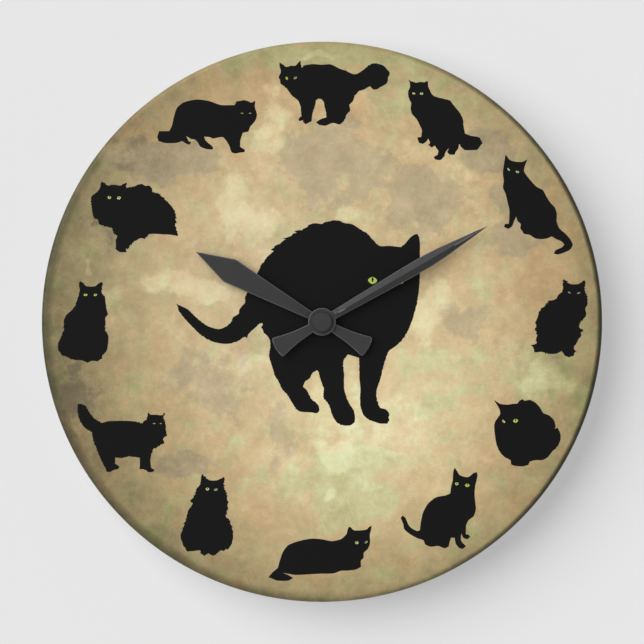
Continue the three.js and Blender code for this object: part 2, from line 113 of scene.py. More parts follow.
# -------- movement case
# Two shells of black ABS, moulded with a fine spark texture and snapped together along the middle of
# the sides. The back one has the battery bay and the well of the setting knob.
class Shade:
    """One output of a shader node. Arithmetic on it adds Math nodes."""

    def __init__(self, tree, output):
        self.tree = tree
        self.output = output

    def node(self, kind, inputs, output=0, stops=None, **settings):
        """Adds a node: its settings, its ramp stops, then the values or links of its inputs."""
        made = self.tree.nodes.new(kind)
        for name, value in settings.items():
            setattr(made, name, value)
        if stops:
            ramp = made.color_ramp
            while len(ramp.elements) < len(stops):
                ramp.elements.new(0.5)
            for element, (position, colour) in zip(ramp.elements, stops):
                element.position = position
                element.color = (*colour, 1)
        for name, value in inputs.items():
            if isinstance(value, Shade):
                self.tree.links.new(value.output, made.inputs[name])
            else:
                made.inputs[name].default_value = value
        return Shade(self.tree, made.outputs[output])

    def maths(self, operation, first, second=0.0):
        """One Math node on two values."""
        return self.node("ShaderNodeMath", {0: first, 1: second}, operation=operation)

    def __add__(self, other):
        return self.maths("ADD", self, other)

    def __sub__(self, other):
        return self.maths("SUBTRACT", self, other)

    def __rsub__(self, other):
        return self.maths("SUBTRACT", other, self)

    def __mul__(self, other):
        return self.maths("MULTIPLY", self, other)

    __radd__ = __add__
    __rmul__ = __mul__

    def noise(self, size, detail=2.0, roughness=0.5):
        """Noise from 0 to 1, with blotches about size mm across."""
        inputs = {"Vector": self, "Scale": 1 / size, "Detail": detail, "Roughness": roughness}
        return self.node("ShaderNodeTexNoise", inputs)

    def between(self, low, high):
        """0 below low and 1 above high, with a smooth step."""
        inputs = {"Value": self, "From Min": low, "From Max": high}
        return self.node("ShaderNodeMapRange", inputs, interpolation_type="SMOOTHSTEP")

    def vector(self, operation, other=(0, 0, 0), output=0):
        """Maths on this vector and another; output 1 is for an answer that is a plain number."""
        return self.node("ShaderNodeVectorMath", {0: self, 1: other}, output, operation=operation)

    def times(self, factor):
        """This vector made longer by a factor."""
        return self.node("ShaderNodeVectorMath", {0: self, "Scale": factor}, operation="SCALE")

    def axis(self, number):
        """One of the three parts of this vector."""
        return self.node("ShaderNodeSeparateXYZ", {0: self}, number)

    def unsigned(self):
        """The value without its sign."""
        return self.maths("ABSOLUTE", self)

    def wave(self, pitch):
        """A wave from 0 to 1 that repeats every pitch mm."""
        return self.maths("SINE", self * (2 * pi / pitch)) * 0.5 + 0.5

    def mix(self, low, high):
        """A colour that goes from low to high, codes or colours, as this value goes from 0 to 1."""
        low, high = ((*rgb(tone), 1) if isinstance(tone, str) else tone for tone in (low, high))
        inputs = {"Factor": self, 6: low, 7: high}
        return self.node("ShaderNodeMix", inputs, output=2, data_type="RGBA")


def new_finish(name):
    """A new material, its surface shader, and the place on the piece in millimetres."""
    material = bpy.data.materials.new(name)
    material.use_nodes = True
    tree = material.node_tree
    place = Shade(tree, tree.nodes.new("ShaderNodeTexCoord").outputs["Object"])
    return material, tree.nodes["Principled BSDF"], place.times(1 / MM)


def dress(surface, **inputs):
    """Sets or links inputs of a shader; an underscore in a name stands for a space."""
    for name, value in inputs.items():
        socket = surface.inputs[name.replace("_", " ")]
        if isinstance(value, Shade):
            value.tree.links.new(value.output, socket)
        else:
            socket.default_value = value


def bump(height, depth):
    """A normal from a height of 0 to 1 that stands for depth mm."""
    return height.node("ShaderNodeBump", {"Height": height, "Distance": depth * MM, "Strength": 1.0})


def rgb(code):
    """A linear colour from a hexadecimal one."""
    parts = [int(code[k:k + 2], 16) / 255 for k in (0, 2, 4)]
    return tuple(p / 12.92 if p <= 0.04045 else ((p + 0.055) / 1.055) ** 2.4 for p in parts)


def coat(node, material):
    """Gives a CAD node its finish."""
    nodes[node].data.materials.clear()
    nodes[node].data.materials.append(material)


def moulded(name, colour, light_colour, grain=0.35, depth=0.03, roughness=0.5):
    """Moulded plastic or rubber: a spark texture and faint flow marks."""
    material, surface, place = new_finish(name)
    spark = place.noise(grain, 3)
    flow = place.noise(9, 3)
    tone = flow * 0.6 + spark * 0.4
    dress(surface, Base_Color=tone.between(0.3, 0.75).mix(colour, light_colour),
          Roughness=flow * 0.2 + spark * 0.15 + (roughness - 0.17), Normal=bump(spark, depth))
    return material


black_plastic = moulded("black_plastic", "1b1b1d", "262629")
coat("front_case", black_plastic)

marked_plastic, surface, place = new_finish("marked_plastic")
spark = place.noise(0.35, 3)
flow = place.noise(9, 3)


def bar(where, x, z, wide, tall):
    """1 inside an upright rectangle with its centre at (x, z) mm."""
    offset = where.vector("SUBTRACT", (x, 0, z)).vector("MULTIPLY", (2 / wide, 0, 2 / tall))
    apart = offset.vector("ABSOLUTE")
    return apart.maths("MAXIMUM", apart.axis(0), apart.axis(2)).between(1.1, 0.9)


def ring(where, x, z, radius, wide):
    """1 on a circle about (x, z) mm."""
    away = where.vector("MULTIPLY", (1, 0, 1)).vector("DISTANCE", (x, 0, z), 1)
    return (away - radius).unsigned().between(wide * 0.6, wide * 0.4)


# A plus and a minus sign by the ends of the cell, an open ring round the knob, and the ejector marks.
sign_x = 21
sign_z = -10.2
stroke_length = 3.2
stroke = 0.8
marks = bar(place, sign_x, sign_z, stroke_length, stroke)
marks = marks + bar(place, sign_x, sign_z, stroke, stroke_length)
marks = marks + bar(place, -sign_x, sign_z, stroke_length, stroke)
knob_low, knob_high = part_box("setting_knob")
knob_x = (knob_low.x + knob_high.x) / 2 / MM
ring_radius = 7.1
ring_gap = 5
opening = bar(place, knob_x + 6, 0, ring_gap, ring_gap)
marks = marks + ring(place, knob_x, 0, ring_radius, 0.5) * (1 - opening)
ejector_radius = 1.5
for x in (-23, 23):
    for z in (-8, 23):
        marks = marks + ring(place, x, z, ejector_radius, 0.2) * 0.5
marks = marks.maths("MINIMUM", marks, 1.0)
tone = flow * 0.6 + spark * 0.4
plain = tone.between(0.3, 0.75).mix("1b1b1d", "262629")
dress(surface, Base_Color=(marks * 0.7).mix(plain, "444448"),
      Roughness=flow * 0.2 + spark * 0.15 + 0.33 - marks * 0.12, Normal=bump(spark * 0.1 - marks, 0.3))
coat("rear_case", marked_plastic)


def ease_edges(node, width):
    """A small rounding on the hard edges of a CAD node, drawn by a live modifier."""
    bevel = nodes[node].modifiers.new("eased_edges", "BEVEL")
    bevel.width = width * MM
    bevel.segments = 2
    bevel.limit_method = "ANGLE"
    bevel.angle_limit = radians(50)


ease_edges("rear_case", 0.3)
ease_edges("front_case", 0.3)


# -------- going train and motion work
# Acetal wheels and pinions between the rear case and a middle plate, a brass arbor for the minute hand,
# and the stem that sets the hands. The wheels are moulded and simply drop into their bearings.
acetal = moulded("acetal", "d2ccba", "e6e1d3", 0.22, 0.008, 0.42)
for node in ("train_plate", "rotor_pinion", "intermediate_wheel", "seconds_wheel", "third_wheel",
             "centre_wheel", "minute_wheel", "hour_wheel", "setting_stem"):
    coat(node, acetal)


def metal(name, colour, light_colour, roughness, grain, stretch=(1, 1, 1)):
    """Bare or plated metal: a grain that may be drawn out along one way, and faint stains."""
    material, surface, place = new_finish(name)
    lines = place.vector("MULTIPLY", stretch).noise(grain, 4, 0.6)
    stain = place.noise(7, 3)
    tone = lines * 0.6 + stain * 0.4
    dress(surface, Base_Color=tone.between(0.32, 0.68).mix(colour, light_colour), Metallic=1.0,
          Roughness=lines * 0.18 + stain * 0.14 + (roughness - 0.16), Normal=bump(lines, 0.008))
    return material


brass = metal("brass", "a07c3a", "d0ab5c", 0.28, 0.5)
coat("minute_arbor", brass)


# -------- stepping motor
# A soft-iron stator and core, a coil of enamelled copper wire on a moulded bobbin, and a bonded ferrite
# magnet on the rotor. The core lies on the two legs of the stator.
soft_iron = metal("soft_iron", "7b7d80", "a2a4a7", 0.4, 0.7, (0.15, 1, 1))
coat("stator", soft_iron)
coat("coil_core", soft_iron)
coat("coil_bobbin", acetal)
ferrite = moulded("ferrite", "2a2a2c", "3d3d40", 0.15, 0.01, 0.5)
coat("rotor_magnet", ferrite)
enamelled_wire, surface, place = new_finish("enamelled_wire")
along = place.axis(0)
wire_pitch = 0.16
turns = along.wave(wire_pitch)
# The colour is lighter on the crest of each turn and darker between turns: painted highlight and shade,
# over a random tone.
tone_and_groove_shade = place.noise(3, 3) * 0.6 + turns * 0.4
dress(surface, Base_Color=tone_and_groove_shade.mix("6e2f12", "c1642f"), Metallic=0.85,
      Roughness=tone_and_groove_shade * 0.2 + 0.22, Normal=bump(turns, 0.03), Coat_Weight=0.4)
coat("coil_winding", enamelled_wire)


# -------- circuit board and contacts
# A small board with a green mask, a chip under a black drop of epoxy, a crystal in a nickel can, and
# two leaves of nickel-plated spring steel that reach into the battery bay.
board, surface, place = new_finish("board")
weave = place.noise(0.4, 2)
path = place.noise(4, 1) - 0.5
tracks = path.unsigned().between(0.035, 0.02)
dress(surface, Base_Color=(weave * 0.4 + tracks * 0.6).mix("1d4a25", "5f9152"),
      Roughness=weave * 0.2 + 0.3, Normal=bump(tracks, 0.04))
coat("circuit_board", board)
epoxy = moulded("epoxy", "0f0f10", "1c1c1e", 1.2, 0.02, 0.3)
coat("driver_chip", epoxy)
nickel = metal("nickel", "b4b5b8", "d6d7d8", 0.24, 0.6, (1, 1, 0.2))
for node in ("quartz_crystal", "contact_negative", "contact_positive"):
    coat(node, nickel)


# -------- battery cell
# An AA cell: a drawn steel can with a raised positive nub, in a shrunk plastic film that curls over
# both shoulders. The film is dark blue with a grey band at the positive end.
def edit(piece):
    """Goes into edit mode with all of a piece selected."""
    bpy.ops.object.select_all(action="DESELECT")
    bpy.context.view_layer.objects.active = piece
    piece.select_set(True)
    bpy.ops.object.mode_set(mode="EDIT")
    bpy.ops.mesh.select_all(action="SELECT")


def done(piece, smooth_angle=35):
    """Leaves edit mode, puts the object at the origin and smooths all but the sharp edges."""
    bpy.ops.object.mode_set(mode="OBJECT")
    bpy.ops.object.transform_apply(location=True, rotation=True, scale=True)
    bpy.ops.object.shade_smooth_by_angle(angle=radians(smooth_angle))


def turned(name, profile, sides, smooth_angle=35):
    """A ring of edges extruded along a profile of (radius, level above the wall) in mm."""
    bpy.ops.object.select_all(action="DESELECT")
    radius, level = profile[0]
    bpy.ops.mesh.primitive_circle_add(vertices=sides, radius=radius * MM, location=(0, -level * MM, 0),
                                      rotation=(radians(90), 0, 0))
    piece = bpy.context.object
    piece.name = name
    edit(piece)
    for next_radius, next_level in profile[1:]:
        step = (0, (level - next_level) * MM, 0)
        bpy.ops.mesh.extrude_edges_move(TRANSFORM_OT_translate={"value": step})
        scale = next_radius / radius
        bpy.ops.transform.resize(value=(scale, 1, scale), center_override=(0, -next_level * MM, 0))
        radius, level = next_radius, next_level
    bpy.ops.mesh.select_all(action="SELECT")
    bpy.ops.mesh.remove_doubles(threshold=0.002 * MM)
    bpy.ops.mesh.normals_make_consistent(inside=False)
    done(piece, smooth_angle)
    return piece


cell_low, cell_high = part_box("battery_cell")
cell_radius = (cell_high.z - cell_low.z) / 2 / MM
heel = cell_low.x / MM
nub = cell_high.x / MM
top = nub - 1
can = [(0.05, heel), (5.0, heel), (5.3, heel + 0.25), (5.9, heel + 0.25)]
can += [(cell_radius - 0.6, heel + 0.1), (cell_radius - 0.2, heel + 0.3), (cell_radius, heel + 0.8)]
can += [(cell_radius, top - 0.9), (cell_radius - 0.15, top - 0.4), (cell_radius - 0.6, top - 0.1)]
can += [(5.9, top), (5.5, top - 0.1), (5.3, top - 0.35), (3.4, top - 0.35), (2.9, top - 0.2)]
can += [(2.7, top + 0.1), (2.7, nub - 0.25), (2.45, nub), (0.05, nub), (0.05, heel)]
cell = turned("wrapped_cell", can, 64)
cell.rotation_euler = (0, 0, radians(90))
cell.location = (0, (cell_low.y + cell_high.y) / 2, (cell_low.z + cell_high.z) / 2)
bpy.ops.object.transform_apply(location=True, rotation=True, scale=True)
cell_wrap, surface, place = new_finish("cell_wrap")
along = place.axis(0)
scuff = place.noise(1.6, 4, 0.6)
film_tone = scuff.mix("1d2536", "29344a")
band_tone = scuff.mix("8d9196", "a3a7ab")
steel_tone = scuff.mix("a5a6a8", "c9cacb")
band_start = 12.0
band_end = 22.6
film_end = 24.75
metal_end = (along + 0.15).unsigned().between(film_end, film_end + 0.1)
colour = along.between(band_start, band_start + 0.05).mix(film_tone, band_tone)
colour = along.between(band_end, band_end + 0.05).mix(colour, film_tone)
dress(surface, Base_Color=metal_end.mix(colour, steel_tone), Metallic=metal_end,
      Roughness=scuff * 0.22 + 0.16, Normal=bump(place.noise(5, 2), 0.05))
cell.data.materials.append(cell_wrap)
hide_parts("battery_cell")
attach(cell, "cell_body")


# -------- setting knob
# A ribbed knob of the same black plastic as the case. It is pressed on the end of the stem and turns
# the hands from behind.
coat("setting_knob", black_plastic)
ease_edges("setting_knob", 0.12)


# -------- hanger and gasket
# A strap of zinc-plated steel with a keyhole, punched and bent. It is clamped behind the dial together
# with a moulded rubber gasket.
zinc_steel = metal("zinc_steel", "9a9ea3", "b3b7bb", 0.38, 0.7, (1, 1, 0.25))
coat("hanger_strap", zinc_steel)
ease_edges("hanger_strap", 0.12)
rubber = moulded("rubber", "121213", "1d1d1e", 0.5, 0.03, 0.75)
coat("rubber_gasket", rubber)


# -------- dial plate
# A white disc of cast acrylic, cut on a laser and polished, with its front edge rounded over by 2.4 mm
# and a hole in the middle for the bushing.
def quarter_round(centre, radius, start, end, steps):
    """Points (radius, level) along an arc in a turned profile, by angle in degrees."""
    angles = [radians(start + (end - start) * k / steps) for k in range(steps + 1)]
    return [(centre[0] + radius * cos(a), centre[1] + radius * sin(a)) for a in angles]


disc = dial_radius / MM
edge_round = 2.4
film = 0.25
hole = 4.2
plate_back = -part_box("dial_plate")[1][1] / MM
glue = 0.05  # between the plate and the film
back_round = 0.75
back_edge = disc - film - glue - back_round
plate_profile = [(hole, plate_back), (back_edge, plate_back)]
plate_profile += quarter_round((back_edge, plate_back + back_round), back_round, -90, 0, 4)
edge_centre = (disc - edge_round, face - edge_round)
plate_profile += quarter_round(edge_centre, edge_round - film - glue, 0, 90, 10)
plate_profile += [(hole, face - film - glue), (hole, plate_back)]
disc_sides = 256
dial_disc = turned("dial_disc", plate_profile, disc_sides)
acrylic, surface, place = new_finish("acrylic")
haze = place.noise(40, 3)
scuffs = place.noise(0.8, 4)
dress(surface, Base_Color=haze.between(0.3, 0.7).mix((0.83, 0.84, 0.83, 1), (0.85, 0.86, 0.85, 1)),
      Roughness=scuffs.between(0.45, 0.75) * 0.18 + 0.06, Coat_Weight=0.5, Coat_Roughness=0.04,
      Normal=bump(haze, 0.02))
dial_disc.data.materials.append(acrylic)
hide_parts("dial_plate")
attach(dial_disc, "clock_body")


# -------- printed face
# A printed film over the front and the rounded edge: a full moon in tan and cream with darker plains,
# a bright southern crater with rays, and an olive shade towards the rim. A satin varnish covers it.
# On the right, where the rounded edge faces away from the key lamp, painted shade darkens the print.
film_profile = [(hole, face - film)]
film_profile += quarter_round(edge_centre, edge_round - film, 90, 0, 12)
film_profile += quarter_round(edge_centre, edge_round, 0, 90, 12)
film_profile += [(hole, face), (hole, face - film)]
moon_print = turned("moon_print", film_profile, disc_sides)

moon, surface, place = new_finish("moon_print")
wander_size = 22
wander_reach = 34.0
wander = {"Vector": place, "Scale": 1 / wander_size, "Detail": 6.0}
wander = place.node("ShaderNodeTexNoise", wander, output=1)
warped = place.vector("ADD", wander.vector("SUBTRACT", (0.5, 0.5, 0.5)).times(wander_reach))


def patch(where, x, z, across, tall, core=0.2):
    """1 in the middle of an oval patch at (x, z) mm, fading to 0 a little outside its half sizes."""
    offset = where.vector("SUBTRACT", (x, -face, z)).vector("MULTIPLY", (1 / across, 0, 1 / tall))
    return 1 - offset.vector("LENGTH", output=1).between(core, 1.3)


def tones(value, *stops):
    """A colour for each level of a value."""
    stops = [(level, rgb(code)) for level, code in stops]
    return value.node("ShaderNodeValToRGB", {0: value}, stops=stops)


# The dark plains and the bright highlands: x, z, half sizes, strength.
plains = [(-76, 80, 27, 16, 0.9), (0, 79, 26, 24, 1.0), (26, 78, 16, 10, 0.5), (48, 60, 25, 20, 1.0),
          (84, 84, 16, 11, 1.0), (68, 1, 13, 11, 0.7), (-54, -32, 28, 24, 0.6), (-67, -72, 15, 11, 0.9),
          (-98, 50, 18, 16, 0.7), (-118, -35, 13, 22, 0.6), (102, -20, 20, 12, 0.4),
          (-20, -52, 12, 22, 0.5), (92, 58, 14, 16, 0.8), (97, 40, 16, 10, 0.9)]
highlands = [(-25, 100, 9, 22, 1.0), (-42, 60, 12, 26, 0.9), (-27, 48, 12, 10, 0.7),
             (12, 56, 15, 7, 0.8), (-76, 22, 14, 10, 1.0), (-58, 12, 18, 14, 1.1),
             (-32, 35, 10, 12, 0.7), (72, 74, 20, 6, 0.5), (94, 34, 14, 8, 0.2), (40, 88, 14, 8, 0.7),
             (56, 12, 12, 16, 0.9), (48, -4, 16, 13, 0.9), (108, -31, 14, 12, 1.1),
             (22, -52, 50, 36, 0.7), (8, -66, 10, 10, 1.4), (4, -89, 5, 5, 0.9), (-117, 27, 3, 5, 0.9),
             (-36, -20, 14, 10, 0.8), (-100, 10, 10, 15, 0.6), (-98, 84, 16, 12, 0.6),
             (0, 130, 20, 4, 0.7)]
rough_edge = place.noise(9, 6, 0.66) * 1.7 - 0.85
dark = place.noise(30, 3) * 0.4 - 0.2
for x, z, across, tall, strength in plains:
    dark = dark + patch(warped, x, z, across, tall) * strength
dark = (dark + rough_edge).between(0.28, 0.56)
pale = place.noise(22, 5, 0.6) * 1.0 - 0.5
for x, z, across, tall, strength in highlands:
    pale = pale + patch(warped, x, z, across, tall) * strength
pale = (pale + rough_edge).between(0.35, 0.95)
glow = patch(warped, 26, -46, 74, 66, 0.1)
streak = warped.noise(7, 4, 0.65) - 0.5
veins = 1 - streak.unsigned().between(0.0, 0.04)
light = place.noise(10, 5, 0.62) * 0.26 + place.noise(2.5, 3, 0.6) * 0.035 + 0.582
light = light - dark * 0.07 + pale * 0.1 + glow * 0.07 + veins * 0.03
rim_shade = 1 - patch(place, 10, 6, 140, 170, 0.45)
light = light - rim_shade * 0.42
away = place.vector("MULTIPLY", (1, 0, 1)).vector("LENGTH", output=1)
right = place.vector("DOT_PRODUCT", (1 / disc, 0, 0), 1)
lower_left = place.vector("DOT_PRODUCT", (-0.866 / disc, 0, -0.5 / disc), 1)
# Painted shade: the print is darkened along the right of the rounded edge, the side that faces away
# from the key lamp.
light = light - away.between(disc - 3.2, disc - 0.4) * right.between(0.0, 0.95) * 0.44
light = light - away.between(disc - 6, disc - 0.5) * lower_left.between(0.0, 0.8) * 0.2
tan = tones(light, (0.15, "3a3520"), (0.4, "75694a"), (0.56, "a39069"), (0.68, "c0a77c"),
            (0.78, "d6c092"), (0.88, "e4d8a8"), (1.0, "f8f3d2"))
peach = tones(light, (0.15, "3d3022"), (0.4, "7c6446"), (0.56, "aa8d64"), (0.68, "c5a478"),
              (0.8, "dec195"), (1.0, "f6e6c2"))
green = tones(light, (0.15, "2f3318"), (0.4, "6d6a42"), (0.56, "999565"), (0.7, "b9b684"),
              (0.82, "d3d5a2"), (1.0, "ebf5ca"))
taupe = tones(light, (0.15, "3b362b"), (0.4, "6f644c"), (0.6, "ac9c7c"), (0.7, "c2b08e"),
              (1.0, "ece4c8"))
hue = place.noise(12, 5, 0.6) + 0.02
# Warm patches of the print, and green ones where the last number is negative: x, z, half sizes, warmth.
tints = [(-40, 112, 40, 13, 0.14), (0, -121, 16, 7, 0.14), (108, 22, 16, 26, 0.14),
         (-26, -101, 16, 9, 0.12), (122, -62, 8, 12, 0.12), (-112, -45, 16, 50, 0.09),
         (-74, -72, 18, 12, 0.05), (14, 104, 17, 12, 0.2), (-86, 92, 24, 16, 0.16),
         (108, 50, 20, 22, 0.1), (98, -82, 14, 12, 0.14), (48, 110, 50, 15, -0.14),
         (104, -28, 18, 16, -0.3), (60, -30, 18, 16, -0.12), (10, -82, 27, 20, -0.34),
         (62, -104, 20, 14, -0.06), (16, 58, 34, 22, -0.05), (-96, 46, 20, 20, -0.05),
         (2, 129, 58, 7, -0.3)]
for x, z, across, tall, warmth in tints:
    hue = hue - patch(warped, x, z, across, tall) * warmth
colour = (hue.between(0.5, 0.36) * 0.85).mix(tan, peach)
colour = (hue.between(0.53, 0.66) * 0.7 + rim_shade * 0.4).mix(colour, green)
greyed = dark * 0.7 + patch(warped, -40, 22, 84, 70) * 0.3
colour = greyed.mix(colour, taupe)
dress(surface, Base_Color=colour, Roughness=place.noise(1.2, 2) * 0.16 + 0.38, Specular_IOR_Level=0.25)
moon_print.data.materials.append(moon)
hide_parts("face_print")
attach(moon_print, "clock_body")


# -------- printed cats
# Thirteen cats in solid black ink, one at each hour and a large one with an arched back in the middle,
# with a raised edge of 0.06 mm. Each outline is given in mm from the hand axis, x then z.
ink, surface, place = new_finish("black_ink")
mottle = place.noise(1.5, 3)
dress(surface, Base_Color=mottle.mix((0.0022, 0.0022, 0.0022, 1), (0.0042, 0.0042, 0.0042, 1)),
      Roughness=mottle * 0.2 + 0.4, Specular_IOR_Level=0.12)


def smooth_outline(points, fur=0.0, step=0.35):
    """A closed outline clockwise through its points, with a corner at each sharp turn.

    fur is the height in mm of the tufts along it, which lean downwards."""
    sharp_turn = 52  # degrees
    tuft_length = 1.55
    count = len(points)
    knots = [Vector((x, z)) for x, z in points]
    tangents = []
    for k in range(count):
        before = knots[k] - knots[k - 1]
        after = knots[(k + 1) % count] - knots[k]
        sharp = before.angle(after) > radians(sharp_turn)
        tangents.append(None if sharp else (before.normalized() + after.normalized()).normalized())
    line = []
    travelled = 0.0
    for k in range(count):
        start = knots[k]
        end = knots[(k + 1) % count]
        span = (end - start).length
        along = (end - start) / span
        leave = tangents[k] or along
        arrive = tangents[(k + 1) % count] or along
        corner = tangents[k] is None or tangents[(k + 1) % count] is None
        reach = span * (0.12 if corner else 0.24)
        pieces = max(2, round(span / step))
        for piece in range(pieces):
            t = piece / pieces
            s = 1 - t
            first = start + leave * reach
            second = end - arrive * reach
            at = start * s ** 3 + first * 3 * s * s * t + second * 3 * s * t * t + end * t ** 3
            far = travelled + span * t
            saw = (far / tuft_length + 0.45 * sin(far * 0.9) + 0.2 * sin(far * 2.3)) % 1
            lean = 0.5 - 0.5 * max(-1, min(1, along.y * 3))
            tuft = saw * lean + (1 - saw) * (1 - lean) - 0.5
            fade = min(1.0, 3 * min(t, s)) if corner else 1.0
            height = fur * (0.75 + 0.45 * sin(far * 0.37 + 1)) * fade
            line.append(at + Vector((-along.y, along.x)) * tuft * height)
        travelled += span
    return line


def flat_piece(name, outlines, low, high, material):
    """A flat piece with an outline in mm, and any holes in it, between two levels above the wall."""
    bpy.ops.object.select_all(action="DESELECT")
    curve = bpy.data.curves.new(name, "CURVE")
    curve.dimensions = "2D"
    curve.fill_mode = "BOTH"
    curve.extrude = (high - low) / 2 * MM
    for outline in outlines:
        spline = curve.splines.new("POLY")
        spline.points.add(len(outline) - 1)
        for point, (x, z) in zip(spline.points, outline):
            point.co = (x * MM, z * MM, 0, 1)
        spline.use_cyclic_u = True
    piece = bpy.data.objects.new(name, curve)
    bpy.context.scene.collection.objects.link(piece)
    bpy.context.view_layer.objects.active = piece
    piece.select_set(True)
    bpy.ops.object.convert(target="MESH")
    piece = bpy.context.object
    piece.rotation_euler = (radians(90), 0, 0)
    piece.location = (0, -(low + high) / 2 * MM, 0)
    bpy.ops.object.transform_apply(location=True, rotation=True, scale=True)
    edit(piece)
    bpy.ops.mesh.remove_doubles(threshold=0.004 * MM)
    bpy.ops.mesh.normals_make_consistent(inside=False)
    bpy.ops.object.mode_set(mode="OBJECT")
    piece.data.materials.clear()
    piece.data.materials.append(material)
    return piece


